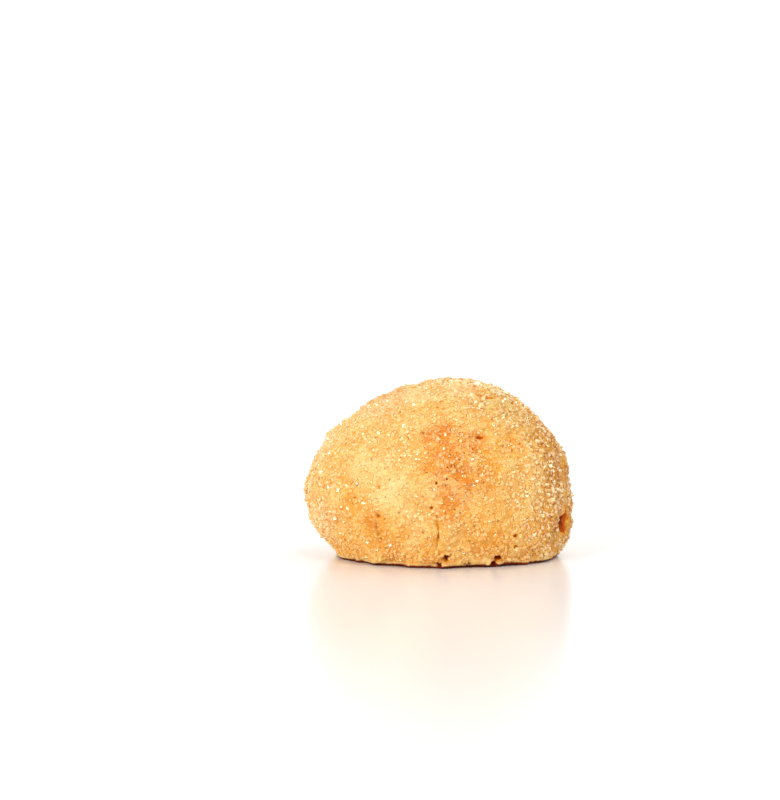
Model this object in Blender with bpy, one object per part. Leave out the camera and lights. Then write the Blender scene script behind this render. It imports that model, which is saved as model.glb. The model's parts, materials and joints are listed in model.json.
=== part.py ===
"""A soft amaretti cookie: one lopsided baked dome with a flat foot, cracks, pits and coarse sugar grains.

Metres, +Z up. The origin is the middle of the cookie's box on the surface it stands on.
-Y is the cookie's front, +X its right-hand side.
The sugar grains are fused to the dough, so all is one solid.
"""

import math
import random

import bmesh
import bpy
import numpy as np
from mathutils import Euler, Matrix, Vector, noise
from mathutils.bvhtree import BVHTree

# Driving dimensions
cookie_width = 0.0480
cookie_depth = 0.0450
cookie_height = 0.0320
apex_offset = 0.0038  # the highest point stands this far right of the middle
belly_height = 0.0118  # level of the widest girth
roundness = 1.90  # exponent of the profile: 2 is an ellipse, less is leaner at the shoulder
foot_inset = 0.0046  # how far the foot's edge lies inside the girth, on average
foot_lean = 0.0017  # the inset is this much more on the left and less on the right

# Surface detail
ball_subdivisions = 7  # of the ball that the dome is shaped from
body_triangles = 6200  # what is kept of it, most of it round the cracks
unevenness = [(0.0110, 0.00070), (0.0042, 0.00042), (0.0020, 0.00028)]  # wavelength, height
ragged_foot = 0.0008  # how far the foot's edge wanders in and out
ragged_wavelength = 0.0022  # length of one wander
ragged_height = 0.0018  # the edge is ragged up to about this level

# Hand-pressed swells and hollows: azimuth and elevation in degrees from the heart, spread, height
swells = [
    (-100, 22, 0.0055, 0.0006),
    (-99, 4, 0.0050, 0.0005),
    (-122, 4, 0.0060, -0.0003),
    (-66, 2, 0.0080, 0.0004),
    (-78, 31, 0.0030, -0.0004),
    (-128, -12, 0.0035, -0.0004),
    (178, 2, 0.0065, 0.0004),
    (12, 4, 0.0075, 0.0002),
    (1, -15, 0.0050, 0.0010),
    (52, 20, 0.0080, 0.0006),
    (98, -4, 0.0090, 0.0004),
    (128, 30, 0.0060, -0.0008),
    (148, -10, 0.0070, 0.0005),
]

# Cracks of the crust: a course of azimuth and elevation in degrees, then width and depth
cracks = [
    {"course": [(-20, 27), (-18, 18), (-20, 9), (-18, 2), (-21, -5)], "width": 0.0018, "depth": 0.0013},
    {"course": [(-24, -8), (-21, -14), (-26, -20), (-22, -30)], "width": 0.0030, "depth": 0.0022},
    {"course": [(-86, 68), (-70, 67), (-58, 65), (-46, 61), (-28, 59)], "width": 0.0018, "depth": 0.0011},
    {"course": [(-101, -8), (-100, -14), (-102, -22)], "width": 0.0010, "depth": 0.0006},
    {"course": [(58, 62), (66, 48), (60, 38), (68, 27), (63, 16)], "width": 0.0026, "depth": 0.0024},
    {"course": [(60, 38), (48, 34), (40, 36)], "width": 0.0018, "depth": 0.0015},
    {"course": [(118, 12), (124, 3), (120, -8), (126, -20)], "width": 0.0020, "depth": 0.0017},
    {"course": [(163, 44), (171, 34), (167, 26)], "width": 0.0017, "depth": 0.0012},
    {"course": [(24, -12), (30, -20), (27, -29)], "width": 0.0016, "depth": 0.0014},
]
crack_wander = 0.0006  # how far a crack's sides stray from a smooth course
crack_wavelength = 0.0020  # length of one stray
crack_blunt = 0.08  # 0 ends a crack in a point, and more in a blunt end
crack_slope = 1.5  # a crack's sides start at this many half widths and are down one half width on
crack_lip = 0.00025  # how far the crust stands up beside a crack

# Pits: azimuth and elevation in degrees, radius of the floor, depth. The low ones nick the foot's edge
pits = [
    (-79, 31, 0.0006, 0.0007),
    (-98, -27, 0.0006, 0.0011),
    (-103, -30, 0.0005, 0.0008),
    (-69, -30, 0.0006, 0.0010),
    (-86, -34, 0.0005, 0.0008),
    (-60, -19, 0.0004, 0.0006),
    (-125, 60, 0.0005, 0.0005),
    (-137, 1, 0.0004, 0.0005),
    (150, -28, 0.0008, 0.0011),
    (82, -30, 0.0008, 0.0010),
    (36, 8, 0.0006, 0.0006),
    (104, 52, 0.0008, 0.0009),
    (-154, 28, 0.0005, 0.0006),
]

pit_mouth = 1.6  # a pit's mouth in radii, and its floor starts one radius further in

# Coarse sugar grains, the largest of the coating
grain_count = 270  # spread over the whole ball, and kept where they sit on the crust
grain_sizes = (0.00070, 0.00115)  # longest side, least and most
grain_shape = (1.0, 0.82, 0.68)  # length, width and height of a grain as shares of its longest side
grain_skew = 1.6  # 1 gives as many large grains as small ones, and more favours the small ones
grain_slant = (0.12, 0.30)  # how much of a grain's length its slanting end takes, least and most
grain_taper = 0.18  # how much narrower a grain's top is than its foot
grain_tilt = 0.5  # how far a grain may lean, in radians
grain_stray = 0.07  # how far a grain's place strays from its even one, in radians
grain_sunk = 0.42  # share of a grain's height inside the dough
grain_floor = 0.0016  # no grain sits lower than this
grain_seed = 11

dough_colour = (0.86, 0.50, 0.18, 1.0)
dough_roughness = 0.8

heart = Vector((apex_offset, 0.0, belly_height))


def clear_scene():
    """Removes what the scene holds, so that the file gives the same cookie each run."""
    for thing in list(bpy.data.objects):
        bpy.data.objects.remove(thing, do_unlink=True)


def direction_of(azimuth, elevation):
    """Unit vectors for angles in degrees: azimuth 0 is right, -90 the front; elevation 90 is up."""
    around = np.radians(azimuth)
    up = np.radians(elevation)
    return np.stack([np.cos(up) * np.cos(around), np.cos(up) * np.sin(around), np.sin(up)], axis=-1)


def smooth_body(directions):
    """Points of the plain dome, before its foot is cut, in the given directions from the heart."""
    level = np.hypot(directions[:, 0], directions[:, 1])
    rise = directions[:, 2]
    turn = np.divide(directions[:, 0], level, out=np.ones_like(level), where=level > 1e-9)
    reach = (cookie_width + cookie_depth) / 4 - apex_offset * turn
    reach += (cookie_width - cookie_depth) / 4 * (2 * turn**2 - 1)
    inset = foot_inset - foot_lean * turn
    spare = 1 - (1 - inset / reach) ** roundness
    below = belly_height / spare ** (1 / roundness)
    tall = np.where(rise > 0, cookie_height - belly_height, below)
    size = ((level / reach) ** roundness + (np.abs(rise) / tall) ** roundness) ** (-1 / roundness)
    return np.array(heart) + directions * size[:, None]


def noise_at(points, wavelength, seed):
    """Smooth seeded noise from -1 to 1 at each point."""
    shift = Vector((seed * 7.13, seed * 3.71, seed * 5.39))
    return np.array([noise.noise(Vector(p) / wavelength + shift) for p in points])


def bump(distance, spread):
    """A bell from 1 in the middle to 0 well away."""
    return np.exp(-((distance / spread) ** 2))


def ease(share):
    """0 to 1 with soft ends, for shares that may lie outside that range."""
    share = np.clip(share, 0, 1)
    return share * share * (3 - 2 * share)


def distance_to_course(points, course):
    """Each point's distance to a chain of points, and how far along the chain it is, 0 to 1."""
    nearest = np.full(len(points), np.inf)
    along = np.zeros(len(points))
    for step in range(len(course) - 1):
        start = course[step]
        run = course[step + 1] - start
        share = np.clip((points - start) @ run / (run @ run), 0, 1)
        gap = np.linalg.norm(points - start - share[:, None] * run, axis=1)
        closer = gap < nearest
        nearest = np.where(closer, gap, nearest)
        along = np.where(closer, (step + share) / (len(course) - 1), along)
    return nearest, along


def crack_relief(points, stray):
    """How far the surface sinks into the cracks and rises beside them, at each point."""
    sunk = np.zeros(len(points))
    raised = np.zeros(len(points))
    for crack in cracks:
        angles = np.array(crack["course"], float)
        course = smooth_body(direction_of(angles[:, 0], angles[:, 1]))
        gap, along = distance_to_course(points, course)
        inner = crack_blunt + (1 - 2 * crack_blunt) * along
        taper = np.sqrt(np.sin(math.pi * inner))
        half = crack["width"] / 2 * taper
        inside = ease((half * crack_slope - gap - crack_wander * stray) / half)
        sunk = np.maximum(sunk, crack["depth"] * taper * inside)
        raised = np.maximum(raised, crack_lip * taper * bump(gap - crack["width"], crack["width"]))
    return sunk, raised


def pit_depths(points):
    """How far the surface sinks at each point to make the pits."""
    sunk = np.zeros(len(points))
    for azimuth, elevation, radius, depth in pits:
        middle = smooth_body(direction_of(np.array([azimuth]), np.array([elevation])))
        gap = np.linalg.norm(points - middle, axis=1)
        sunk = np.maximum(sunk, depth * ease(pit_mouth - gap / radius))
    return sunk


def shaped_dome(directions):
    """Points of the real crust: the plain dome with swells, unevenness, cracks and pits."""
    plain = smooth_body(directions)
    height = np.zeros(len(plain))
    for azimuth, elevation, spread, tall in swells:
        middle = smooth_body(direction_of(np.array([azimuth]), np.array([elevation])))
        height += tall * bump(np.linalg.norm(plain - middle, axis=1), spread)
    for seed, (wavelength, tall) in enumerate(unevenness):
        height += tall * noise_at(plain, wavelength, seed + 1)
    near_foot = bump(plain[:, 2], ragged_height)
    height += ragged_foot * near_foot * noise_at(plain, ragged_wavelength, 9)
    sunk, raised = crack_relief(plain, noise_at(plain, crack_wavelength, 17))
    height += raised - sunk - pit_depths(plain)
    return plain + directions * height[:, None]


def make_body():
    """The dough: a ball shaped to the crust, cut flat at its foot and thinned where it is plain."""
    shape = bmesh.new()
    bmesh.ops.create_icosphere(shape, subdivisions=ball_subdivisions, radius=1)
    directions = np.array([corner.co for corner in shape.verts])
    directions /= np.linalg.norm(directions, axis=1)[:, None]
    for corner, place in zip(shape.verts, shaped_dome(directions), strict=True):
        corner.co = place
    everything = shape.verts[:] + shape.edges[:] + shape.faces[:]
    cut = bmesh.ops.bisect_plane(
        shape, geom=everything, dist=1e-6, plane_co=(0, 0, 0), plane_no=(0, 0, -1), clear_outer=True
    )
    rim = [item for item in cut["geom_cut"] if isinstance(item, bmesh.types.BMEdge)]
    bmesh.ops.edgeloop_fill(shape, edges=rim)
    bmesh.ops.triangulate(shape, faces=shape.faces[:])
    bmesh.ops.recalc_face_normals(shape, faces=shape.faces[:])
    mesh = bpy.data.meshes.new("cookie")
    shape.to_mesh(mesh)
    shape.free()
    body = bpy.data.objects.new("cookie", mesh)
    bpy.context.scene.collection.objects.link(body)
    thin = body.modifiers.new("thin_out", "DECIMATE")
    thin.ratio = body_triangles / len(mesh.polygons)
    apply_modifiers(body)
    return body


def apply_modifiers(thing):
    """Makes the mesh what its modifiers give."""
    bpy.context.view_layer.update()
    graph = bpy.context.evaluated_depsgraph_get()
    made = bpy.data.meshes.new_from_object(thing.evaluated_get(graph))
    old = thing.data
    thing.modifiers.clear()
    thing.data = made
    bpy.data.meshes.remove(old)
    made.name = thing.name


def spiral_directions(count):
    """Directions spread evenly over the ball, along a spiral that turns by the golden angle."""
    golden_angle = math.pi * (3 - math.sqrt(5))
    for step in range(count):
        rise = 1 - 2 * (step + 0.5) / count
        level = math.sqrt(1 - rise * rise)
        yield Vector((math.cos(golden_angle * step) * level, math.sin(golden_angle * step) * level, rise))


def grain_mesh(draw):
    """One sugar grain: a block with one end cut slanting, as sugar crystals grow."""
    shape = bmesh.new()
    bmesh.ops.create_cube(shape, size=1)
    slant = draw.uniform(*grain_slant)
    for corner in shape.verts:
        risen = corner.co.z + 0.5
        if corner.co.x > 0:
            corner.co.x -= slant * risen
        corner.co.y *= 1 - grain_taper * risen
    mesh = bpy.data.meshes.new("grain")
    shape.to_mesh(mesh)
    shape.free()
    return mesh


def place_grains(body, grains):
    """Puts the coarse sugar grains into the collection, each part sunk in the dough."""
    draw = random.Random(grain_seed)
    surface = BVHTree.FromObject(body, bpy.context.evaluated_depsgraph_get())
    for way in spiral_directions(grain_count):
        stray = Vector((draw.uniform(-1, 1), draw.uniform(-1, 1), draw.uniform(-1, 1)))
        size = draw.uniform(0, 1) ** grain_skew
        lean = (draw.uniform(-grain_tilt, grain_tilt), draw.uniform(-grain_tilt, grain_tilt))
        turn = Euler((*lean, draw.uniform(0, math.tau)))
        mesh = grain_mesh(draw)
        way = (way + grain_stray * stray).normalized()
        outside = heart + way * cookie_width
        place, normal, _, _ = surface.ray_cast(outside, -way)
        sunk, _ = crack_relief(np.array([place]), np.zeros(1))
        if place.z < grain_floor or sunk[0] > 0:
            continue
        longest = grain_sizes[0] + (grain_sizes[1] - grain_sizes[0]) * size
        sides = Vector(grain_shape) * longest
        lift = normal * sides.z * (0.5 - grain_sunk)
        pose = normal.to_track_quat("Z", "Y") @ turn.to_quaternion()
        mesh.transform(Matrix.LocRotScale(place + lift, pose, sides))
        grain = bpy.data.objects.new(f"grain_{len(grains.objects):03d}", mesh)
        grains.objects.link(grain)


def fuse_grains(body):
    """Joins the sugar grains to the dough with one Boolean union, so that the cookie is one solid."""
    grains = bpy.data.collections.new("grains")
    bpy.context.scene.collection.children.link(grains)
    place_grains(body, grains)
    fuse = body.modifiers.new("fuse", "BOOLEAN")
    fuse.operation = "UNION"
    fuse.operand_type = "COLLECTION"
    fuse.collection = grains
    fuse.solver = "EXACT"
    apply_modifiers(body)
    for grain in list(grains.objects):
        bpy.data.objects.remove(grain, do_unlink=True)
    bpy.data.collections.remove(grains)


def fit_to_size(body):
    """Puts the middle of the cookie's foot on the origin and trims its box to the driving dimensions."""
    places = np.array([corner.co for corner in body.data.vertices])
    low = places.min(axis=0)
    high = places.max(axis=0)
    middle = (low + high) / 2
    stretch = np.array([cookie_width, cookie_depth, cookie_height]) / (high - low)
    to_origin = Matrix.Translation((-middle[0], -middle[1], -low[2]))
    body.data.transform(Matrix.Diagonal((*stretch, 1)) @ to_origin)


def dough_material():
    """Baked almond dough, golden and dull."""
    material = bpy.data.materials.new("dough")
    material.use_nodes = True
    shader = material.node_tree.nodes["Principled BSDF"]
    shader.inputs["Base Color"].default_value = dough_colour
    shader.inputs["Roughness"].default_value = dough_roughness
    shader.inputs["Metallic"].default_value = 0.0
    return material


def main():
    clear_scene()
    cookie = make_body()
    fuse_grains(cookie)
    fit_to_size(cookie)
    cookie.data.materials.clear()
    cookie.data.materials.append(dough_material())


main()
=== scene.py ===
# A soft amaretti cookie: its baked crust, its coat of sugar and its crumbs, on a pale studio floor.
# Metres, +Z up, -Y to the front, as in the model that it dresses.

import json
import math

import bpy
import numpy as np
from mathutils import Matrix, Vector, noise
from mathutils.bvhtree import BVHTree

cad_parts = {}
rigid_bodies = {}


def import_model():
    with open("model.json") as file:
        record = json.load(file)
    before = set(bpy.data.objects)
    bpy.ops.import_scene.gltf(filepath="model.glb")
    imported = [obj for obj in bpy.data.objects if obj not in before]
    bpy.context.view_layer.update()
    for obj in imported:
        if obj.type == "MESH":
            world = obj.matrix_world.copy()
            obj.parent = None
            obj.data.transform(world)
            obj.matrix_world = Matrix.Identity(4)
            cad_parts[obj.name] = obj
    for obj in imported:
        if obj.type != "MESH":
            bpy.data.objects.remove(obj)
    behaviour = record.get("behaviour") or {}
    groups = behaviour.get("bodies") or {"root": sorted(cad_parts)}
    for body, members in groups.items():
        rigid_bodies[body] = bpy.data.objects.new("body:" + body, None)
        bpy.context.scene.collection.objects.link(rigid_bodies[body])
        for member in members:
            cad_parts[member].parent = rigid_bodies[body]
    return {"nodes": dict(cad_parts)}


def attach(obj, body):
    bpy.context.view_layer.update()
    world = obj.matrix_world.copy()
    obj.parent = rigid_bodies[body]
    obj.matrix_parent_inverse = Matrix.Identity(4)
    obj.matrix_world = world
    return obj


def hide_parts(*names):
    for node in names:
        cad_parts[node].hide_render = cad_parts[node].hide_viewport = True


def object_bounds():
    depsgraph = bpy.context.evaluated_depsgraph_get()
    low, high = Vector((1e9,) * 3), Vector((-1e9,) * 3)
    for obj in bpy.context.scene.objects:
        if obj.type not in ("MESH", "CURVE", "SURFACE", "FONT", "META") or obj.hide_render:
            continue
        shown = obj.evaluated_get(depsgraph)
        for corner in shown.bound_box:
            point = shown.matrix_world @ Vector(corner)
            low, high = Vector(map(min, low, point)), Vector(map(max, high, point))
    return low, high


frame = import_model()
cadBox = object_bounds()
cookieNode = frame["nodes"]["cookie"]
print("frame loaded")


# Small helpers

def useAlone(thing):
    bpy.ops.object.select_all(action="DESELECT")
    thing.select_set(True)
    bpy.context.view_layer.objects.active = thing


def finishWith(thing, kind, **settings):
    modifier = thing.modifiers.new("step", kind)
    for name, value in settings.items():
        setattr(modifier, name, value)
    useAlone(thing)
    bpy.ops.object.modifier_apply(modifier="step")


def placesOf(mesh, what="vertices", field="co"):
    items = getattr(mesh, what)
    flat = np.empty(len(items) * 3, np.float32)
    items.foreach_get(field, flat)
    return flat.reshape(-1, 3).astype(float)


def putPlaces(mesh, places):
    mesh.vertices.foreach_set("co", places.astype(np.float32).ravel())
    mesh.update()


def putShare(mesh, name, values):
    layer = mesh.attributes.get(name) or mesh.attributes.new(name, "FLOAT", "POINT")
    layer.data.foreach_set("value", np.clip(values, 0, 1).astype(np.float32))


def softStep(values, low, high):
    share = np.clip((values - low) / (high - low), 0, 1)
    return share * share * (3 - 2 * share)


def noiseAt(places, length, seed):
    shift = Vector((seed * 5.3, seed * 2.9, seed * 7.7))
    return np.array([noise.noise(Vector(p) / length + shift) for p in places])


def linear(red, green, blue):  # a colour as a picture program gives it, 0 to 255
    share = [((c / 255 + 0.055) / 1.055) ** 2.4 for c in (red, green, blue)]
    return (*share, 1.0)


# Nodes

class Wire:  # a node's output that Python's operators work on
    def __init__(self, tree, socket=None):
        self.tree = tree
        self.socket = socket

    def add(self, kind, settings=None, inputs=None, output=0):
        node = self.tree.nodes.new(kind)
        for name, value in (settings or {}).items():
            setattr(node, name, value)
        for name, value in (inputs or {}).items():
            if isinstance(value, Wire):
                self.tree.links.new(value.socket, node.inputs[name])
            else:
                node.inputs[name].default_value = value
        return Wire(self.tree, node.outputs[output] if len(node.outputs) else None)

    def read(self, name):  # a share that the mesh holds
        return self.add("ShaderNodeAttribute", {"attribute_name": name}, output="Fac")

    def beside(self, name):  # another output of the same node
        return Wire(self.tree, self.socket.node.outputs[name])

    def calculate(self, operation, first, second):
        return self.add("ShaderNodeMath", {"operation": operation}, {0: first, 1: second})

    def calculateVector(self, operation, first, second, output=0):
        return self.add("ShaderNodeVectorMath", {"operation": operation}, {0: first, 1: second}, output)

    def stretch(self, share):  # a vector, this much longer
        return self.add("ShaderNodeVectorMath", {"operation": "SCALE"}, {0: self, "Scale": share})

    def __add__(self, other):
        return self.calculate("ADD", self, other)

    def __radd__(self, other):
        return self.calculate("ADD", other, self)

    def __sub__(self, other):
        return self.calculate("SUBTRACT", self, other)

    def __rsub__(self, other):
        return self.calculate("SUBTRACT", other, self)

    def __mul__(self, other):
        return self.calculate("MULTIPLY", self, other)

    def rise(self, low, high):  # 0 below low and 1 above high, with soft ends
        limits = {"Value": self, "From Min": low, "From Max": high}
        return self.add("ShaderNodeMapRange", {"interpolation_type": "SMOOTHSTEP"}, limits)

    def tint(self, plain, tinted):  # this share of the second colour over the first
        return self.add("ShaderNodeMix", {"data_type": "RGBA"}, {0: self, 6: plain, 7: tinted}, 2)


def newMaterial(name):
    material = bpy.data.materials.new(name)
    material.use_nodes = True
    tree = material.node_tree
    return material, Wire(tree), tree.nodes["Principled BSDF"]


def feed(shader, name, wire):
    wire.tree.links.new(wire.socket, shader.inputs[name])


# Camera: a long lens, a little above the cookie's middle

cameraSetup = {
    "lens": 105.0,
    "sensor": 36.0,  # the picture's long side
    "down": 5.5,  # degrees
    "picture": (780, 800),
    "widthPixels": 268,  # the cookie's width in the picture
    "middlePixel": (439, 486),  # where the cookie's middle lies in it
    "middleHeight": 0.0125,
    "near": 0.01,  # where its view starts
}


def makeCamera(setup):
    low, high = cadBox
    width = high.x - low.x
    side = max(setup["picture"])
    distance = width / setup["widthPixels"] * side / setup["sensor"] * setup["lens"]
    down = math.radians(setup["down"])
    middle = Vector((0, 0, setup["middleHeight"]))
    cameraData = bpy.data.cameras.new("camera")
    cameraData.lens = setup["lens"]
    cameraData.sensor_width = setup["sensor"]
    cameraData.clip_start = setup["near"]
    camera = bpy.data.objects.new("camera", cameraData)
    bpy.context.scene.collection.objects.link(camera)
    camera.location = middle + Vector((0, -math.cos(down), math.sin(down))) * distance
    ahead = (middle - camera.location).normalized()
    right = Vector((1, 0, 0))
    scale = setup["sensor"] / setup["lens"] / side
    aside = (setup["middlePixel"][0] - setup["picture"][0] / 2) * scale
    below = (setup["middlePixel"][1] - setup["picture"][1] / 2) * scale
    aim = ahead - right * aside + right.cross(ahead) * below
    camera.rotation_euler = aim.to_track_quat("-Z", "Y").to_euler()
    bpy.context.scene.camera = camera


makeCamera(cameraSetup)
print("camera placed")


# Crust: the solid's own form, with its grains melted away and its crumb, cracks and pits cut finely

crustShape = {
    "voxel": 0.00030,
    "meltTurns": 16,
    "melt": 0.5,
    "keptFoot": (0.0005, 0.0022),  # between these heights the melting sets in
    "keptShare": 0.1,  # of the melting that the foot still gets
    "heart": (0.0037, -0.0003, 0.0116),  # cracks and pits are cut towards this point
    "reach": 0.05,  # from there to well outside
    "lumps": [
        ("CLOUDS", 0.0046, 0.00080), ("CLOUDS", 0.0022, 0.00040), ("CLOUDS", 0.0010, 0.00028),
        ("VORONOI", 0.0009, -0.00016),
    ],
    "relief": 0.0005,  # a lump this tall counts as fully raised
    "underLevel": 0.0004,  # the underside is what lies below this and looks down:
    "underTurn": -0.5,
    "underLumps": 0.3,  # how much of the lumps it gets
    "footLift": (0.00004, 0.00016),  # how far the foot's thin edge curls off the table, left and right
    "liftFrom": (0.002, 0.014),  # metres right of the middle between which it goes from one to the other
    "liftWave": (0.8, 1.3),  # its even share and its wavy one
    "liftLimits": (0.25, 1.6),
    "footWidth": 0.0018,
    "flatBelow": 0.00012,
    "footHeight": (0.0004, 0.0018),  # between these heights the foot's shaping fades out
    "footWave": 0.0024,
    "footRagged": 0.0009,
    "raggedShare": 1.5,
    "footTurns": 72,  # how many directions its edge is measured in
    "footFlare": 0.00035,  # how far the foot spreads
    "deepAt": 0.0007,  # a pit this deep has its full colour
    "inset": 0.00012,  # the coat of sugar stands this far out of the crust
    "swells": [  # azimuth, elevation, spread, height
        (-6, -20, 0.0045, 0.0010),
        (-4, -1, 0.0045, -0.0006),
        (-6, 16, 0.0065, 0.0006),
        (-165, 25, 0.0070, -0.0002),
        (-155, 50, 0.0060, -0.0002),
        (-120, 75, 0.0060, -0.0002),
    ],
}

# Azimuth and elevation in degrees from the heart: azimuth -90 is the front, elevation 90 is up
# A crack's tone sets how far its colour goes from the bare dough's own colour towards the painted shade of
# its depths
crackSetup = {
    "courses": [
        {
            "way": [(-14, 20), (-12, 14), (-11.5, 8), (-12, 1), (-14, -5)], "width": 0.0017, "depth": 0.0004,
            "tone": 0.34, "clear": 0.0006,
        },
        {
            "way": [(-12, -10), (-11.5, -13), (-13, -17)], "width": 0.0032, "depth": 0.0006,
            "blunt": 0.1, "tone": 0.66, "calm": 0.4, "clear": 0.0005,
        },
        {
            "way": [(-14, -10), (-15, -17)], "width": 0.0014, "depth": 0.0006,
            "blunt": 0.1, "tone": 0.92, "calm": 0.4,
        },
        {"way": [(-88, 68), (-74, 66)], "width": 0.0022, "depth": 0.0003, "tone": 0.40},
        {
            "way": [(-79, 65), (-70, 65), (-62, 62), (-54, 61), (-47, 59)], "width": 0.0019, "depth": 0.0002,
            "tone": 0.47, "calm": 0.9, "clear": 0.0011,
        },
        {"way": [(-46, 61), (-43, 59)], "width": 0.0014, "depth": 0.0003, "tone": 0.55, "clear": 0.0007},
        {"way": [(-33, 58), (-30, 56)], "width": 0.0014, "depth": 0.0003, "tone": 0.60, "clear": 0.0007},
        {"way": [(-81, 33), (-76, 33)], "width": 0.0008, "depth": 0.0004, "tone": 0.8, "calm": 0.3},
        {"way": [(-101, -8), (-100, -14), (-102, -22)], "width": 0.0004, "depth": 0.0004, "tone": 0.4},
        {"way": [(-128, -4), (-129, -9), (-130, -19)], "width": 0.0004, "depth": 0.0004, "tone": 0.4},
        {"way": [(58, 62), (66, 48), (60, 38), (68, 27), (63, 16)], "width": 0.0016, "depth": 0.0016},
        {"way": [(60, 38), (48, 34), (40, 36)], "width": 0.0010, "depth": 0.0010},
        {"way": [(118, 12), (124, 3), (120, -8), (126, -20)], "width": 0.0012, "depth": 0.0012},
        {"way": [(163, 44), (171, 34), (167, 26)], "width": 0.0009, "depth": 0.0008},
        {"way": [(24, -12), (30, -20), (27, -29)], "width": 0.0010, "depth": 0.0010},
    ],
    "wander": 0.0006,  # of a crack as wide as this:
    "wanderWidth": 0.0016,
    "wave": 0.0012,
    "rough": 0.0007,  # how long the unevenness of its floor is
    "taper": (0.06, 0.88),  # the share of half a sine wave that its width follows: start, length
    "wall": (0.75, 1.20),  # where the wall starts and ends, in half widths
    "lip": 0.00012,
    "lipPlace": (1.7, 0.6),  # how far from the middle it stands and how wide it is, in half widths
    "bare": 1.1,  # there is no sugar up to this many half widths from the middle
    "clear": 0.00030,  # and it fades in over this
}

pitSetup = {
    "named": [  # azimuth, elevation, radius, depth
        (-98, -27, 0.0007, 0.0012),
        (-102, -31, 0.0006, 0.0010),
        (-67, -31, 0.0006, 0.0012),
        (-70, -34, 0.0005, 0.0010),
        (-86, -34, 0.0005, 0.0008),
        (-60, -18, 0.0003, 0.0006),
        (-58, -24, 0.00035, 0.0006),
        (-125, 60, 0.0003, 0.0003),
        (-121, 61, 0.00025, 0.0003),
        (-137, 1, 0.00025, 0.0004),
        (-127, 6, 0.0002, 0.0004),
        (-128, -6, 0.0003, 0.0005),
        (-136, 6, 0.0002, 0.0004),
        (-101, 9, 0.00025, 0.0005),
        (-103, -2, 0.00025, 0.0005),
        (-96, 16, 0.0002, 0.0004),
        (-59, 9, 0.0002, 0.0004),
    ],
    "loose": 70,  # small ones strewn over the rest
    "looseRadius": (0.00012, 0.00022),
    "looseDepth": (0.00018, 0.00036),
    "looseAbove": -0.5,  # the sine of the lowest elevation that they are strewn at
    "wall": (0.6, 1.4),  # where a pit's wall starts and ends, in radii
    "clear": 0.00015,
    "seed": 5,
}


def direction(azimuth, elevation):
    around = math.radians(azimuth)
    up = math.radians(elevation)
    return Vector((math.cos(up) * math.cos(around), math.cos(up) * math.sin(around), math.sin(up)))


def placeOn(surface, azimuth, elevation):
    way = direction(azimuth, elevation)
    heart = Vector(crustShape["heart"])
    place, _, _, _ = surface.ray_cast(heart + way * crustShape["reach"], -way)
    return place


def meltedCopy(setup):
    crust = bpy.data.objects.new("crust", cookieNode.data.copy())
    bpy.context.scene.collection.objects.link(crust)
    crust.data.materials.clear()
    useAlone(crust)
    bpy.ops.object.mode_set(mode="EDIT")
    bpy.ops.mesh.select_all(action="SELECT")
    bpy.ops.mesh.remove_doubles(threshold=1e-6)
    bpy.ops.object.mode_set(mode="OBJECT")
    finishWith(crust, "REMESH", mode="VOXEL", voxel_size=setup["voxel"])
    soft = crust.vertex_groups.new(name="soft")
    weights = softStep(placesOf(crust.data)[:, 2], *setup["keptFoot"])
    for place, weight in enumerate(setup["keptShare"] + (1 - setup["keptShare"]) * weights):
        soft.add([place], weight, "REPLACE")
    finishWith(
        crust, "SMOOTH", factor=setup["melt"], iterations=setup["meltTurns"], vertex_group="soft"
    )
    crust.vertex_groups.clear()
    return crust


def addLumps(crust, setup):
    places = placesOf(crust.data)
    normals = placesOf(crust.data, "vertices", "normal")
    under = (places[:, 2] < setup["underLevel"]) & (normals[:, 2] < setup["underTurn"])
    side = crust.vertex_groups.new(name="side")
    side.add(np.flatnonzero(~under).tolist(), 1.0, "REPLACE")
    side.add(np.flatnonzero(under).tolist(), setup["underLumps"], "REPLACE")
    for step, (kind, size, tall) in enumerate(setup["lumps"]):
        texture = bpy.data.textures.new(f"lumps{step}", kind)
        texture.noise_scale = size
        finishWith(
            crust, "DISPLACE", texture=texture, strength=tall, mid_level=0.5,
            texture_coords="LOCAL", vertex_group="side",
        )
    crust.vertex_groups.clear()
    relief = ((placesOf(crust.data) - places) * normals).sum(axis=1)
    return relief, under


def gapToCourse(places, course):
    nearest = np.full(len(places), np.inf)
    along = np.zeros(len(places))
    for step in range(len(course) - 1):
        run = course[step + 1] - course[step]
        share = np.clip((places - course[step]) @ run / (run @ run), 0, 1)
        gap = np.linalg.norm(places - course[step] - share[:, None] * run, axis=1)
        closer = gap < nearest
        nearest = np.where(closer, gap, nearest)
        along = np.where(closer, (step + share) / (len(course) - 1), along)
    return nearest, along


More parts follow.
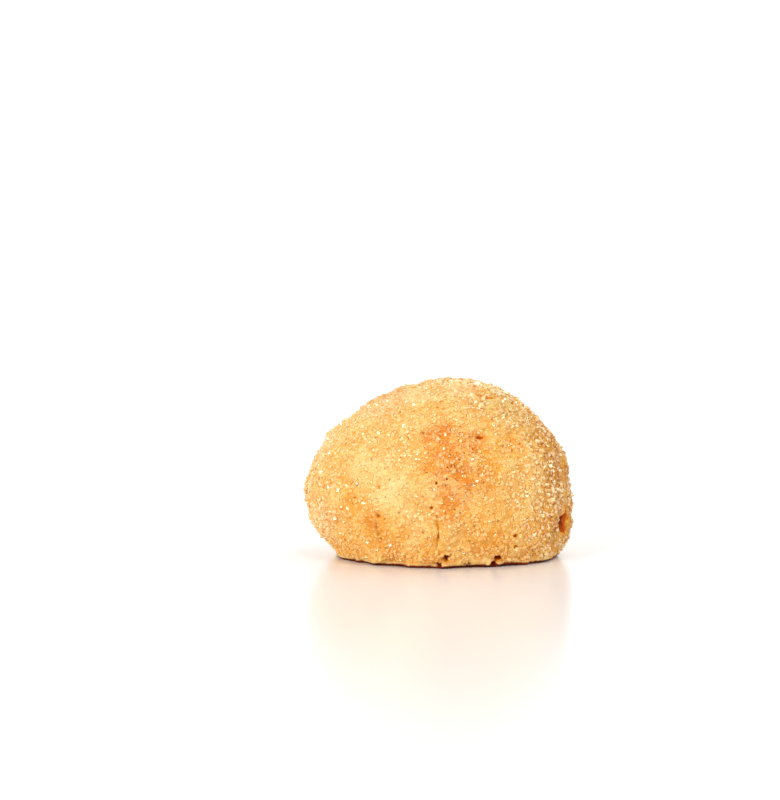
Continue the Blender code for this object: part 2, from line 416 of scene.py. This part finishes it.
def carve(crust, setup, cracks, pits):
    heart = Vector(setup["heart"])
    surface = BVHTree.FromObject(crust, bpy.context.evaluated_depsgraph_get())

    def onCrust(azimuth, elevation):
        return np.array(placeOn(surface, azimuth, elevation))

    places = placesOf(crust.data)
    flat = places[:, 2] < setup["flatBelow"]
    stray = noiseAt(places, cracks["wave"], 3)
    rough = noiseAt(places, cracks["rough"], 8)
    cracked = np.zeros(len(places))
    shade = np.zeros(len(places))
    pitted = np.zeros(len(places))
    raised = np.zeros(len(places))
    bare = np.zeros(len(places))
    start, length = cracks["taper"]
    lipAt, lipWidth = cracks["lipPlace"]
    floor, mouth = pits["wall"]
    for crack in cracks["courses"]:
        course = np.array([onCrust(*point) for point in crack["way"]])
        gap, along = gapToCourse(places, course)
        taper = np.sin(math.pi * (start + length * along)) ** crack.get("blunt", 0.5)
        half = crack["width"] / 2 * taper
        wide = (crack["width"] / cracks["wanderWidth"]) ** 0.5
        gap = gap + cracks["wander"] * crack.get("calm", 1) * stray * wide
        inside = 1 - softStep(gap, half * cracks["wall"][0], half * cracks["wall"][1])
        cracked = np.maximum(cracked, crack["depth"] * taper * inside * (1 + 0.25 * rough))
        shade = np.maximum(shade, crack.get("tone", 0.5) * taper * inside)
        clear = crack.get("clear", cracks["clear"])
        bare = np.maximum(bare, 1 - softStep(gap, half * cracks["bare"], half * cracks["bare"] + clear))
        raised = np.maximum(raised, taper * np.exp(-((gap - lipAt * half) / (lipWidth * half)) ** 2))
    draw = np.random.default_rng(pits["seed"])
    spots = []
    for azimuth, elevation, radius, depth in pits["named"]:
        spots.append((onCrust(azimuth, elevation), radius, depth))
    for _ in range(pits["loose"]):
        azimuth = draw.uniform(-180, 180)
        elevation = math.degrees(math.asin(draw.uniform(pits["looseAbove"], 1)))
        middle = onCrust(azimuth, elevation)
        spots.append((middle, draw.uniform(*pits["looseRadius"]), draw.uniform(*pits["looseDepth"])))
    for middle, radius, depth in spots:
        gap = np.linalg.norm(places - middle, axis=1) + 0.5 * radius * rough
        pitted = np.maximum(pitted, depth * (1 - softStep(gap, radius * floor, radius * mouth)))
        bare = np.maximum(bare, 1 - softStep(gap, radius, radius + pits["clear"]))
    lower = np.maximum(cracked, pitted) - cracks["lip"] * raised + setup["inset"]
    for azimuth, elevation, spread, height in setup["swells"]:
        gap = np.linalg.norm(places - onCrust(azimuth, elevation), axis=1)
        lower -= height * np.exp(-(gap / spread) ** 2)
    toHeart = np.array(heart) - places
    toHeart /= np.linalg.norm(toHeart, axis=1)[:, None]
    places += toHeart * lower[:, None]
    places[:, 2] = np.where(flat, 0, np.maximum(places[:, 2], 0))
    putPlaces(crust.data, places)
    putShare(crust.data, "hollow", np.maximum(shade, pitted / setup["deepAt"]))
    putShare(crust.data, "bare", bare)
    putShare(crust.data, "brim", raised)


def shapeFoot(crust, setup):
    places = placesOf(crust.data)
    out = places[:, :2] - np.array(setup["heart"][:2])
    reach = np.hypot(out[:, 0], out[:, 1])
    turn = np.arctan2(out[:, 1], out[:, 0])
    bins = setup["footTurns"]
    which = np.clip(((turn + math.pi) / math.tau * bins).astype(int), 0, bins - 1)
    flat = places[:, 2] < setup["flatBelow"]
    edge = np.array([reach[flat & (which == b)].max() for b in range(bins)])
    angles = (np.arange(bins) + 0.5) / bins * math.tau - math.pi
    edge = np.interp(turn, angles, edge, period=math.tau)
    rim = softStep(reach, edge - setup["footWidth"], edge)
    even, wavy = setup["liftWave"]
    wave = even + wavy * noiseAt(places * np.array([1, 1, 0]), setup["footWave"], 14)
    ragged = 1 + setup["raggedShare"] * noiseAt(places, setup["footRagged"], 27)
    low = rim * (1 - softStep(places[:, 2], *setup["footHeight"]))
    spread = 1 + setup["footFlare"] * low * ragged / reach
    places[:, :2] = np.array(setup["heart"][:2]) + out * spread[:, None]
    left, right = setup["footLift"]
    lift = left + (right - left) * softStep(places[:, 0], *setup["liftFrom"])
    places[:, 2] += lift * low * np.clip(wave, *setup["liftLimits"])
    places[:, 2] = np.maximum(places[:, 2], 0)
    putPlaces(crust.data, places)
    putShare(crust.data, "edge", rim)


def makeCrust():
    crust = meltedCopy(crustShape)
    print("crust remeshed:", len(crust.data.polygons), "faces")
    relief, under = addLumps(crust, crustShape)
    carve(crust, crustShape, crackSetup, pitSetup)
    shapeFoot(crust, crustShape)
    putShare(crust.data, "raised", 0.5 + relief / crustShape["relief"])
    putShare(crust.data, "under", under.astype(float))
    useAlone(crust)
    bpy.ops.object.shade_smooth()
    return crust


crust = makeCrust()
print("crust carved")


# Colours of the bake, with painted shade and painted light among them, shared by the crust and the sugar
# that lies on it

bakeColours = {
    "golden": linear(253, 196, 96),
    # pale: partly the crust's own paler bake, partly painted light on the cheek that faces the key lamp
    "pale": linear(254, 225, 152),
    "fair": linear(252, 211, 128),
    "amber": linear(252, 184, 74),
    "browned": linear(242, 150, 46),
    # darker olive crust under a thick coat, partly painted shade on the right flank, away from the key lamp
    "frostedAndShaded": linear(202, 136, 34),
    "olive": linear(224, 192, 114),
    "powder": linear(252, 220, 162),
    # darker orange: painted shade in the crust's hollows and at the feet of the sugar grains, mixed with the
    # crust's own mottling
    "crumbAndShade": linear(232, 140, 44),
    "toasted": linear(208, 120, 40),
    "beige": linear(249, 200, 130),
    "deep": linear(196, 76, 2),
    # darkest red-brown: painted shade deep in cracks and pits and under the foot's edge, partly a real
    # browned ring there
    "shadeAndScorch": linear(128, 40, 4),
    "ember": linear(232, 148, 34),
    # dark red-brown: painted shade of tiny pits on the crust, and real dark flecks on the underside
    "pore": linear(150, 66, 2),
    # dark ochre: painted shade at the feet of the grains on the thick coat
    "grainFootShade": linear(184, 116, 30),
    "foot": linear(200, 128, 56),
    "cream": linear(255, 226, 160),
    "white": linear(255, 238, 200),
}

patchEdge = (0.2, 1.6)  # where a spot's edge starts and ends, in radii
bakePatches = [  # spots of one colour: azimuth, elevation, radius
    {"colour": "fair", "strength": 0.8, "spots": [
        (-140, 38, 0.0090), (-100, 62, 0.0080), (-160, 12, 0.0080), (-60, 2, 0.0070), (60, 20, 0.0100),
        (170, 40, 0.0080), (-148, 33, 0.0040),
    ]},
    # Pale spots: the crust's own paler bake, and on the front-left cheek, which faces the key lamp, painted
    # light as well
    {"colour": "pale", "strength": 1.0, "spots": [
        (-127, 13, 0.0046), (-121, 4, 0.0050), (-116, -6, 0.0042), (-111, -14, 0.0032),
        (110, 10, 0.0070), (20, 45, 0.0050),
    ]},
    {"colour": "amber", "strength": 0.8, "spots": [
        (-131, -12, 0.0046), (-139, -2, 0.0030), (-122, -12, 0.0034), (-104, -22, 0.0040),
        (-70, -18, 0.0050), (-60, 33, 0.0050), (-75, 20, 0.0040), (-44, -20, 0.0050),
        (85, -10, 0.0060), (140, -18, 0.0050),
    ]},
    {"colour": "browned", "strength": 0.9, "spots": [
        (-101, 31, 0.0028), (-97, 19, 0.0040), (-92, 10, 0.0042), (-94, 1, 0.0028), (-84, 30, 0.0022),
        (-129, -9, 0.0013), (68, 40, 0.0060), (160, 0, 0.0050), (35, -5, 0.0050),
    ]},
    # Darker olive crust under the thick coat: partly its own colour, partly painted shade on the right
    # flank, where the key light falls off
    {"colour": "frostedAndShaded", "strength": 0.9, "spots": [
        (-22, 34, 0.0055), (-24, 16, 0.0050), (-24, 2, 0.0045), (-22, -14, 0.0050),
        (120, 40, 0.0070), (5, 10, 0.0090), (0, -15, 0.0070), (-170, 55, 0.0060),
    ]},
    {"colour": "olive", "strength": 0.9, "spots": [
        (-62, 60, 0.0050), (-38, 52, 0.0055), (-28, 62, 0.0050), (30, 60, 0.0050),
    ]},
    {"colour": "powder", "strength": 0.8, "spots": [
        (-168, 40, 0.0050), (-158, 50, 0.0050), (-140, 58, 0.0040), (-172, 18, 0.0045), (-162, -10, 0.0045),
        (-92, 74, 0.0045), (150, 62, 0.0060), (95, 30, 0.0050),
    ]},
]


def patchMask(wires, coords, spots):
    total = None
    for azimuth, elevation, radius in spots:
        place = placeOn(crustSurface, azimuth, elevation)
        gap = wires.calculateVector("DISTANCE", coords, place, 1)
        spot = 1 - gap.rise(radius * patchEdge[0], radius * patchEdge[1])
        total = spot if total is None else total.calculate("MAXIMUM", total, spot)
    return total


def patchShare(places, colour):  # the same, for points
    total = np.zeros(len(places))
    for patch in bakePatches:
        if patch["colour"] != colour:
            continue
        for azimuth, elevation, radius in patch["spots"]:
            place = placeOn(crustSurface, azimuth, elevation)
            gap = np.linalg.norm(places - np.array(place), axis=1)
            total = np.maximum(total, 1 - softStep(gap, radius * patchEdge[0], radius * patchEdge[1]))
    return total


textureLengths = {
    "bake": 0.006,
    "foot": 0.0050,
    "drift": 0.0035,
    "middle": 0.0011,
    "flecks": 0.0008,
    "pores": 0.0008,
    "small": 0.0006,
    "fine": 0.00055,
    "warp": 0.0004,
    "grain": 0.00028,
    "dust": 0.00015,
    "floor": 0.05,
}
crustLook = {
    "drift": 0.006,  # how far the patches' outlines stray
    "warp": 0.0006,  # and those of the pores
    "poreSize": 0.40,
    "poreEdge": 0.12,
    "specular": 0.2,
    "bumpStrength": 0.9,
    "bumpDistance": 0.00022,
}
sugarLook = {"roughness": 0.14, "specular": 1.0}


def noiseWire(wires, coords, length, detail=2.0, rough=0.5, output=0):
    scale = 1 / textureLengths[length]
    inputs = {"Vector": coords, "Scale": scale, "Detail": detail, "Roughness": rough}
    return wires.add("ShaderNodeTexNoise", {}, inputs, output)


def bakeColour(wires, coords):  # and where each patch lies
    drift = noiseWire(wires, coords, "drift", output=1)
    drift = wires.calculateVector("SUBTRACT", drift, (0.5, 0.5, 0.5)).stretch(crustLook["drift"])
    moved = wires.calculateVector("ADD", coords, drift)
    large = noiseWire(wires, coords, "bake")
    colour = large.rise(0.40, 0.62).tint(bakeColours["golden"], bakeColours["fair"])
    masks = {}
    for patch in bakePatches:
        masks[patch["colour"]] = patchMask(wires, moved, patch["spots"]) * patch["strength"]
        colour = masks[patch["colour"]].tint(colour, bakeColours[patch["colour"]])
    middle = noiseWire(wires, coords, "middle", 3.0)
    colour = (middle.rise(0.52, 0.66) * 0.5).tint(colour, bakeColours["amber"])
    colour = ((1 - middle.rise(0.34, 0.48)) * 0.4).tint(colour, bakeColours["fair"])
    small = noiseWire(wires, coords, "small")
    colour = (small.rise(0.53, 0.62) * 0.40).tint(colour, bakeColours["beige"])
    colour = ((1 - small.rise(0.37, 0.46)) * 0.40).tint(colour, bakeColours["browned"])
    return colour, masks


crustSurface = BVHTree.FromObject(crust, bpy.context.evaluated_depsgraph_get())


def crustMaterial():
    material, wires, shader = newMaterial("bakedCrust")
    coords = wires.add("ShaderNodeTexCoord", output="Object")
    hollow = wires.read("hollow")
    raised = wires.read("raised")
    under = wires.read("under")
    edge = wires.read("edge")
    fine = noiseWire(wires, coords, "fine", 3.0)
    grain = noiseWire(wires, coords, "grain")
    colour, masks = bakeColour(wires, coords)
    browned = masks["browned"]
    # Darker orange where the crust lies low and paler where it stands raised: partly random mottling, partly
    # painted shade in its hollows and painted light on its lumps
    low = (1 - raised) * 0.5 + fine * 0.7 + grain * 0.4
    colour = (low.rise(0.72, 0.90) * (0.35 + browned * 0.55)).tint(colour, bakeColours["crumbAndShade"])
    colour = ((1 - low.rise(0.60, 0.72)) * 0.35).tint(colour, bakeColours["cream"])
    # Small dark dots, more of them in browned and amber patches: painted shade standing in for tiny pits and
    # the gaps between crystals
    warp = noiseWire(wires, coords, "warp", 1.0, output=1).stretch(crustLook["warp"])
    warp = wires.calculateVector("ADD", coords, warp)
    dots = wires.add("ShaderNodeTexVoronoi", {}, {"Vector": warp, "Scale": 1 / textureLengths["pores"]})
    kept = wires.add("ShaderNodeSeparateColor", {}, {"Color": dots.beside("Color")})
    often = kept + browned * 0.35 + masks["amber"] * 0.20
    pores = (kept * crustLook["poreSize"] - dots).rise(0.0, crustLook["poreEdge"]) * often.rise(0.78, 0.95)
    colour = (pores * (0.55 + browned * 0.45)).tint(colour, bakeColours["pore"])
    brim = wires.read("brim")
    colour = (brim * 0.25).tint(colour, bakeColours["cream"])
    flecks = noiseWire(wires, coords, "flecks", 4.0, 0.65)
    inner = flecks.rise(0.50, 0.64).tint(bakeColours["ember"], bakeColours["golden"])
    inner = (1 - flecks.rise(0.36, 0.48)).tint(inner, bakeColours["deep"])
    deepness = hollow + (flecks - 0.5) * 0.3
    colour = deepness.rise(0.06, 0.30).tint(colour, inner)
    # Deeper in cracks and pits the colour goes darker: painted shade of their depths, over the bare dough's
    # own ember colour
    core = (flecks.rise(0.46, 0.62) * 0.45).tint(bakeColours["deep"], bakeColours["ember"])
    colour = deepness.rise(0.38, 0.56).tint(colour, core)
    colour = hollow.rise(0.60, 0.95).tint(colour, bakeColours["shadeAndScorch"])
    blotches = noiseWire(wires, coords, "foot", 4.0, 0.6)
    baked = blotches.rise(0.42, 0.64).tint(bakeColours["foot"], bakeColours["toasted"])
    baked = (flecks.rise(0.50, 0.64) * 0.6).tint(baked, bakeColours["pore"])
    baked = ((1 - flecks.rise(0.36, 0.48)) * 0.5).tint(baked, bakeColours["amber"])
    colour = (under * (0.6 + grain * 0.6)).rise(0.1, 1.0).tint(colour, baked)
    # The underside darkens towards the foot's edge: partly a browned ring, partly painted shadow for the
    # dark line under the lifted edge
    colour = (under * (edge + (flecks - 0.5) * 0.5).rise(0.2, 0.8)).tint(colour, bakeColours["shadeAndScorch"])
    # A pale band on the foot's lifted lip, just above the table: painted highlight
    height = wires.add("ShaderNodeSeparateXYZ", {}, {0: coords}, 2)
    lip = (1 - under) * edge.rise(0.7, 0.95) * (1 - height.rise(0.0006, 0.0010))
    colour = (lip * 0.5).tint(colour, bakeColours["cream"])
    feed(shader, "Base Color", colour)
    dull = hollow.calculate("MAXIMUM", hollow, pores)
    feed(shader, "Roughness", 0.85 - grain.rise(0.5, 0.8) * 0.35 + dull)
    rough = fine * 1.5 + grain + noiseWire(wires, coords, "dust", 1.0) * 0.5
    inputs = {"Height": rough, "Strength": crustLook["bumpStrength"], "Distance": crustLook["bumpDistance"]}
    bump = wires.add("ShaderNodeBump", {}, inputs)
    feed(shader, "Normal", bump)
    shader.inputs["Specular IOR Level"].default_value = crustLook["specular"]
    return material


crust.data.materials.append(crustMaterial())
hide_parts("cookie")
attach(crust, "root")
print("crust coloured")


# Sugar: crystals of three sizes, half sunk in the crust. Crumbs: small lumps of its own dough

crystalCuts = [  # a plane that cuts a block of 1: a point on it and the way it faces
    ((0.42, 0, 0), (1, 0, 0.55)),
    ((0, 0.36, 0), (0.1, 1, 0.3)),
    ((-0.4, -0.2, 0), (-1, -0.6, 0.2)),
    ((0.36, 0, 0.1), (1, 0.2, 0.8)),
    ((0, -0.36, 0.2), (0, -1, 0.9)),
    ((-0.35, 0.25, 0), (-0.7, 1, 0.3)),
    ((0, 0, 0.4), (0.25, 0.1, 1)),
    ((0.1, 0.1, 0.34), (-0.5, 0.6, 1)),
]
crystalSides = (1.0, 0.88, 0.78)
crystalSkew = 0.06
crystalStand = 0.02  # how far its middle stands out of the crust, as a share of its size
lumpSkew = 0.16
lumpSides = (1.1, 0.9, 0.7)
lumpStand = -0.08

grainKinds = {
    "sugarCoarse": {
        "shapes": [(0, 1, 2, 4, 6), (3, 4, 5, 7), (1, 2, 3, 6, 7)], "sizes": (0.00070, 0.00112),
        "spacing": 0.00086, "most": 2.2e6, "seed": 3, "share": "coarseShare",
    },
    "sugarMedium": {
        "shapes": [(0, 1, 4), (3, 5, 6), (2, 4, 7), (6, 1)], "sizes": (0.00048, 0.00076),
        "spacing": 0.00060, "most": 2.6e6, "seed": 8,
    },
    "sugarFine": {
        "shapes": [(), (0,), ()], "sizes": (0.00026, 0.00044),
        "spacing": 0.00036, "most": 5.0e6, "seed": 21,
    },
}
crumbKinds = {
    "crumbs": {
        "lumps": (4, 9, 17), "sizes": (0.00018, 0.00044), "share": "crumbShare",
        "spacing": 0.00054, "most": 4.5e6, "seed": 34,
    },
}


def newShape(box, name):  # files the shape that was just modelled, unwrapped, with the others of its kind
    shape = bpy.context.object
    shape.name = name
    bpy.ops.mesh.select_all(action="SELECT")
    bpy.ops.mesh.normals_make_consistent(inside=False)
    bpy.ops.uv.smart_project(island_margin=0.05)
    bpy.ops.object.mode_set(mode="OBJECT")
    shape.data.uv_layers[0].name = "patch"
    putShare(shape.data, "rise", placesOf(shape.data)[:, 2] + 0.25)
    for holder in list(shape.users_collection):
        holder.objects.unlink(shape)
    box.objects.link(shape)


def makeCrystals(name, setup):
    box = bpy.data.collections.new(name)
    for count, cuts in enumerate(setup["shapes"]):
        bpy.ops.object.select_all(action="DESELECT")
        bpy.ops.mesh.primitive_cube_add(size=1)
        bpy.ops.object.mode_set(mode="EDIT")
        for cut in cuts:
            point, way = crystalCuts[cut]
            bpy.ops.mesh.select_all(action="SELECT")
            bpy.ops.mesh.bisect(plane_co=point, plane_no=way, use_fill=True, clear_outer=True)
        bpy.ops.mesh.select_all(action="SELECT")
        bpy.ops.transform.resize(value=crystalSides)
        bpy.ops.transform.vertex_random(offset=crystalSkew, seed=count + setup["seed"])
        bpy.ops.transform.translate(value=(0, 0, crystalStand))
        newShape(box, f"{name}{count}")
    return box


def makeLumps(name, setup):
    box = bpy.data.collections.new(name)
    for seed in setup["lumps"]:
        bpy.ops.object.select_all(action="DESELECT")
        bpy.ops.mesh.primitive_ico_sphere_add(subdivisions=1, radius=0.5)
        bpy.ops.object.mode_set(mode="EDIT")
        bpy.ops.transform.vertex_random(offset=lumpSkew, seed=seed)
        bpy.ops.transform.resize(value=lumpSides)
        bpy.ops.transform.translate(value=(0, 0, lumpStand))
        newShape(box, f"{name}{seed}")
    return box


coatSetup = {
    "patchLength": 0.0040,
    "bunchLength": 0.0012,
    "bunched": (-0.30, 0.25),
    "right": (0.010, 0.020),  # metres right of the middle between which the coat gets thick
    "left": (0.015, 0.023),  # and left of it
    "leftPale": 0.45,  # how much of the thick coat's colour the left side has
    "top": (0.026, 0.033),  # and between these heights, which are lower on the right
    "topLean": 0.4,
    "turnedDown": (-0.97, -0.88),  # no grain sits where the crust looks down like this
    "offFloor": (0.0002, 0.0005),
    "cover": (0.70, 0.45, 0.40, 0.15),  # everywhere, in patches, where thick and where browned
    "crumbs": 0.2,
}


def markShares(crust, setup):  # where the coat is thick, and where there is none
    mesh = crust.data
    places = placesOf(mesh)
    normals = placesOf(mesh, "vertices", "normal")
    bare = np.empty(len(places), np.float32)
    mesh.attributes["bare"].data.foreach_get("value", bare)
    patchy = noiseAt(places, setup["patchLength"], 31)
    bunched = softStep(noiseAt(places, setup["bunchLength"], 47), *setup["bunched"])
    right = softStep(places[:, 0], *setup["right"])
    left = softStep(-places[:, 0], *setup["left"])
    top = softStep(places[:, 2] + setup["topLean"] * places[:, 0], *setup["top"])
    sides = softStep(normals[:, 2], *setup["turnedDown"])
    free = sides * softStep(places[:, 2], *setup["offFloor"]) * (1 - bare)
    thick = np.maximum(np.maximum(right, left), top)
    browned = patchShare(places, "browned")
    every, some, most, baked = setup["cover"]
    share = np.clip(every + some * patchy + most * thick + baked * browned, 0, 1) * free
    putShare(mesh, "thick", np.maximum(np.maximum(right, left * setup["leftPale"]), top))
    putShare(mesh, "sugarShare", share * (0.45 + 0.55 * bunched) * (1 - 0.4 * thick))
    putShare(mesh, "coarseShare", share * (0.3 + 0.7 * bunched) * (0.08 + 0.92 * thick ** 2))
    putShare(mesh, "crumbShare", setup["crumbs"] * free * (1 - thick))


strewing = {
    "lowest": 0.0010,  # no grain sits lower
    "lean": 0.7,  # radians
}


def strew(name, ground, patterns, setup):  # spreads copies over the ground, as one mesh
    carrier = bpy.data.objects.new(name, ground.data.copy())
    bpy.context.scene.collection.objects.link(carrier)
    tree = bpy.data.node_groups.new(name, "GeometryNodeTree")
    for way in ("INPUT", "OUTPUT"):
        tree.interface.new_socket(name="Geometry", in_out=way, socket_type="NodeSocketGeometry")
    wires = Wire(tree)
    seed = setup["seed"]

    def draw(low, high, shift):
        inputs = {2: low, 3: high, 8: seed + shift}
        return wires.add("FunctionNodeRandomValue", {"data_type": "FLOAT"}, inputs, 1)

    def store(geometry, name, value, domain, kind="FLOAT"):
        settings = {"data_type": kind, "domain": domain}
        inputs = {"Geometry": geometry, "Name": name, "Value": value}
        return wires.add("GeometryNodeStoreNamedAttribute", settings, inputs)

    start = wires.add("NodeGroupInput")
    shareName = setup.get("share", "sugarShare")
    share = wires.add("GeometryNodeInputNamedAttribute", {"data_type": "FLOAT"}, {"Name": shareName})
    place = wires.add("GeometryNodeInputPosition")
    height = wires.add("ShaderNodeSeparateXYZ", {}, {0: place}, 2)
    clear = height.calculate("GREATER_THAN", height, strewing["lowest"])
    points = wires.add(
        "GeometryNodeDistributePointsOnFaces", {"distribute_method": "POISSON"},
        {
            "Mesh": start, "Selection": clear, "Distance Min": setup["spacing"],
            "Density Max": setup["most"], "Density Factor": share, "Seed": seed,
        },
    )
    turn = points.beside("Rotation")
    size = draw(*setup["sizes"], 1)
    pieces = wires.add(
        "GeometryNodeCollectionInfo", {},
        {"Collection": patterns, "Separate Children": True, "Reset Children": True},
    )
    copies = wires.add(
        "GeometryNodeInstanceOnPoints", {},
        {"Points": points, "Instance": pieces, "Pick Instance": True, "Rotation": turn, "Scale": size},
    )
    lean = strewing["lean"]
    spin = wires.add(
        "FunctionNodeRandomValue", {"data_type": "FLOAT_VECTOR"},
        {0: (-lean, -lean, 0), 1: (lean, lean, math.tau), 8: seed + 2},
    )
    turned = wires.add(
        "GeometryNodeRotateInstances", {}, {"Instances": copies, "Rotation": spin, "Local Space": True}
    )
    toned = store(turned, "tone", draw(0.0, 1.0, 3), "INSTANCE")
    counted = store(toned, "cell", wires.add("GeometryNodeInputIndex"), "INSTANCE", "INT")
    made = wires.add("GeometryNodeRealizeInstances", {}, {"Geometry": counted})
    # a random share for each face, by which the sugar's painted reflection picks its facets
    faced = store(made, "facet", draw(0.0, 1.0, 4), "FACE")
    wires.add("NodeGroupOutput", {}, {"Geometry": faced})
    finishWith(carrier, "NODES", node_group=tree)
    carrier.data.materials.clear()
    unwrap(carrier.data)
    print(name, "faces:", len(carrier.data.polygons))
    return carrier


uvMargin = 0.08  # share of a square that stays free on each side


def unwrap(mesh):  # each grain has a small square of its own in the map
    cells = np.empty(len(mesh.vertices), np.int32)
    mesh.attributes["cell"].data.foreach_get("value", cells)
    corners = np.empty(len(mesh.loops), np.int32)
    mesh.loops.foreach_get("vertex_index", corners)
    patch = np.empty(len(mesh.loops) * 2, np.float32)
    mesh.attributes["patch"].data.foreach_get("vector", patch)
    across = math.ceil(math.sqrt(cells.max() + 1))
    cell = cells[corners]
    corner = np.stack([cell % across, cell // across], axis=1)
    spread = (corner + uvMargin + (1 - 2 * uvMargin) * patch.reshape(-1, 2)) / across
    mesh.attributes.remove(mesh.attributes["patch"])
    layer = mesh.uv_layers.new(name="OFBake")
    layer.data.foreach_set("uv", spread.astype(np.float32).ravel())


def unwrapCrust(mesh, heart):  # each side of a cube around the heart takes a sixth of the map
    heart = np.array(heart)
    middles = placesOf(mesh, "polygons", "center") - heart
    axis = np.abs(middles).argmax(axis=1)
    ahead = middles[np.arange(len(axis)), axis] > 0
    turns = np.empty(len(mesh.polygons), np.int32)
    mesh.polygons.foreach_get("loop_total", turns)
    axis = np.repeat(axis, turns)
    side = np.repeat(ahead, turns).astype(int)
    corners = np.empty(len(mesh.loops), np.int32)
    mesh.loops.foreach_get("vertex_index", corners)
    out = placesOf(mesh)[corners] - heart
    rows = np.arange(len(axis))
    deep = np.abs(out[rows, axis])
    flat = np.stack([out[rows, (axis + 1) % 3], out[rows, (axis + 2) % 3]], axis=1)
    spread = np.arctan2(flat, deep[:, None]) / math.pi * 2
    patch = (np.stack([axis, side], axis=1) + 0.5 + spread * (1 - uvMargin)) / (3, 2)
    layer = mesh.uv_layers.new(name="OFBake")
    layer.data.foreach_set("uv", patch.astype(np.float32).ravel())


def sugarMaterial():
    material, wires, shader = newMaterial("sugar")
    coords = wires.add("ShaderNodeTexCoord", output="Object")
    tone = wires.read("tone")
    facet = wires.read("facet")
    thick = wires.read("thick")
    rise = wires.read("rise")
    colour, masks = bakeColour(wires, coords)
    browned = masks["browned"]
    # Each grain darker towards its foot, where it meets the crust, more so on the thick coat: painted shade
    # between the grains
    lower = 0.5 - masks["powder"] * 0.4 - masks["pale"] * 0.25
    colour = ((1 - rise.rise(0.10, 0.45)) * lower).tint(colour, bakeColours["crumbAndShade"])
    ochre = thick * (0.8 - masks["olive"] * 0.5 - masks["powder"] * 0.9).rise(0, 1)
    colour = ((1 - rise.rise(0.10, 0.55)) * ochre).tint(colour, bakeColours["grainFootShade"])
    colour = ((1 - tone.rise(0.15, 0.40)) * browned * 0.8).tint(colour, bakeColours["toasted"])
    colour = (tone.rise(0.50, 0.80) * browned * 0.5).tint(colour, bakeColours["beige"])
    # Grains paler at random, more so on chosen facets and towards their tops, whitest on the thick coat:
    # partly the sugar's own paleness, partly painted reflection standing in for glints inside clear crystals
    pale = 0.04 + tone * 0.24 + facet.rise(0.5, 0.9) * 0.22 + thick * (tone - 0.12)
    colour = (pale * rise.rise(0.15, 0.70)).tint(colour, bakeColours["cream"])
    clear = (0.15 + thick * 0.85) * tone.rise(0.50, 0.80) * rise.rise(0.25, 0.75)
    colour = (clear * 0.7).tint(colour, bakeColours["white"])
    feed(shader, "Base Color", colour)
    shader.inputs["Roughness"].default_value = sugarLook["roughness"]
    shader.inputs["Specular IOR Level"].default_value = sugarLook["specular"]
    return material


markShares(crust, coatSetup)
sugar = sugarMaterial()
for kinds, make, material, slot in (
    (grainKinds, makeCrystals, sugar, "sugar"),
    (crumbKinds, makeLumps, crust.data.materials[0], "dough"),
):
    for name, setup in kinds.items():
        patterns = make(name, setup)
        grains = strew(name, crust, patterns, setup)
        grains.data.materials.append(material)
        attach(grains, "root")
        for shape in list(patterns.objects):
            bpy.data.objects.remove(shape, do_unlink=True)
unwrapCrust(crust.data, crustShape["heart"])
print("sugar and crumbs strewn")


# Floor and light

floorSetup = {"size": 6.0, "colour": (0.95, 0.945, 0.94, 1.0), "roughness": 0.20, "cloud": 0.04}
lights = {  # azimuth and height of each lamp in degrees, how wide it looks, its strength
    "key": {"from": (-125, 28), "wide": 22, "strength": 1.38, "colour": (1.0, 0.98, 0.95)},
    "glintHigh": {"from": (-70, 58), "wide": 14, "strength": 0.45, "colour": (1.0, 1.0, 1.0)},
    "glintLow": {"from": (-50, 20), "wide": 8, "strength": 0.14, "colour": (1.0, 1.0, 1.0)},
    "glintTop": {"from": (20, 66), "wide": 12, "strength": 0.20, "colour": (1.0, 1.0, 1.0)},
    "glintLeft": {"from": (-160, 48), "wide": 12, "strength": 0.12, "colour": (1.0, 1.0, 1.0)},
    "glintRight": {"from": (-40, 38), "wide": 16, "strength": 0.24, "colour": (1.0, 0.98, 0.94)},
}
sky = {  # how bright it is where
    "front": 0.42,
    "back": 1.15,
    "turn": (-0.2, 0.6),  # from front to back, along the view
    "rim": 1.15,
    "rimHeight": (0.08, 0.30),
}


def makeFloor(setup):
    bpy.ops.object.select_all(action="DESELECT")
    bpy.ops.mesh.primitive_plane_add(size=setup["size"])
    floor = bpy.context.object
    floor.name = "floor"
    material, wires, shader = newMaterial("paleFloor")
    coords = wires.add("ShaderNodeTexCoord", output="Object")
    cloud = noiseWire(wires, coords, "floor")
    feed(shader, "Roughness", setup["roughness"] + cloud * setup["cloud"])
    shader.inputs["Base Color"].default_value = setup["colour"]
    floor.data.materials.append(material)


def makeLights():
    scene = bpy.context.scene
    for name, setup in lights.items():
        lamp = bpy.data.lights.new(name, "SUN")
        lamp.energy = setup["strength"]
        lamp.angle = math.radians(setup["wide"])
        lamp.color = setup["colour"]
        holder = bpy.data.objects.new(name, lamp)
        scene.collection.objects.link(holder)
        way = direction(*setup["from"])
        holder.location = way
        holder.rotation_euler = (-way).to_track_quat("-Z", "Y").to_euler()
    world = bpy.data.worlds.new("whiteStudio")
    world.use_nodes = True
    scene.world = world
    tree = world.node_tree
    wires = Wire(tree)
    way = wires.add("ShaderNodeTexCoord", output="Generated")
    parts = wires.add("ShaderNodeSeparateXYZ", {}, {0: way})
    back = parts.beside("Y").rise(*sky["turn"])
    rim = 1 - parts.beside("Z").rise(*sky["rimHeight"])
    background = tree.nodes["Background"]
    background.inputs["Color"].default_value = (1, 1, 1, 1)
    strength = back * (sky["back"] - sky["front"]) + sky["front"]
    strength = strength.calculate("MAXIMUM", strength, rim * sky["rim"])
    tree.links.new(strength.socket, background.inputs["Strength"])
    scene.view_settings.view_transform = "Standard"


makeFloor(floorSetup)
makeLights()
print("stage lit")
